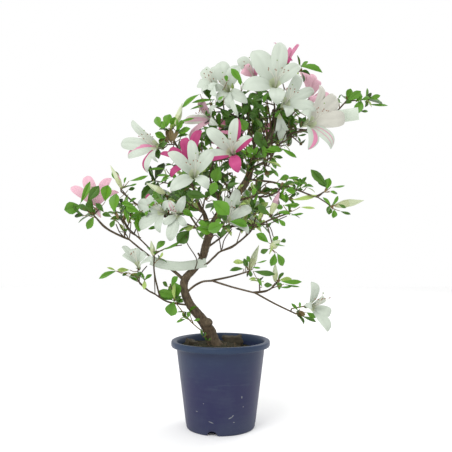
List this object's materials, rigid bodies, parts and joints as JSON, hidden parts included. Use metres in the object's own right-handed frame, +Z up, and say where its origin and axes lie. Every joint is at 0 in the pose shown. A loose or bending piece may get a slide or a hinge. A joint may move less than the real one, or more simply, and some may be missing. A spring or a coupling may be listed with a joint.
{
  "type": "azalea shrub in a pot",
  "caption": "Flowering azalea shrub with a crooked woody trunk, open layered boughs, small leaves and wide five-petalled blooms, growing in a round tapering nursery pot.",
  "frame": {"origin": "middle of the pot's flat foot, on the ground", "axes": "+Z up, +X to the right of the front view, -Y towards the viewer of the front view"},
  "size_m": [0.4857, 0.2307, 0.5838],
  "materials": {
    "pot": "dusty dark blue moulded plastic",
    "soil": "rough peat and bark compost",
    "bark": "rough grey-brown bark",
    "strip": "matt pale blank tag",
    "foliage": "leaves and petals, satin"
  },
  "bodies": {
    "root": {"pot": "pot", "soil": "soil", "trunk": "bark", "left_bough": "bark", "left_outer_bough": "bark", "left_back_bough": "bark", "low_left_bough": "bark", "low_right_bough": "bark", "low_right_outer_bough": "bark", "right_low_bough": "bark", "lower_inner_bough": "bark", "left_mid_bough": "bark", "upper_left_bough": "bark", "front_bough": "bark", "centre_bough": "bark", "right_bough": "bark", "inner_right_bough": "bark", "upper_right_bough": "bark", "left_leader": "bark", "right_leader": "bark", "crown_right_bough": "bark", "back_left_bough": "bark", "back_middle_bough": "bark", "back_right_bough": "bark", "back_low_bough": "bark", "long_strip": "strip", "short_strip": "strip", "far_left_foliage": "foliage", "left_lower_foliage": "foliage", "left_riser_foliage": "foliage", "low_left_foliage": "foliage", "foot_shoot_foliage": "foliage", "low_right_foliage": "foliage", "low_right_middle_foliage": "foliage", "low_right_tip_foliage": "foliage", "lower_inner_foliage": "foliage", "right_low_foliage": "foliage", "centre_foliage": "foliage", "left_mid_foliage": "foliage", "upper_left_foliage": "foliage", "front_foliage": "foliage", "right_tip_foliage": "foliage", "right_mid_foliage": "foliage", "top_foliage": "foliage", "far_right_foliage": "foliage", "top_left_foliage": "foliage", "crown_right_foliage": "foliage", "inner_right_foliage": "foliage", "back_left_foliage": "foliage", "back_middle_foliage": "foliage", "back_right_foliage": "foliage", "back_low_foliage": "foliage"}
  },
  "joints": []
}
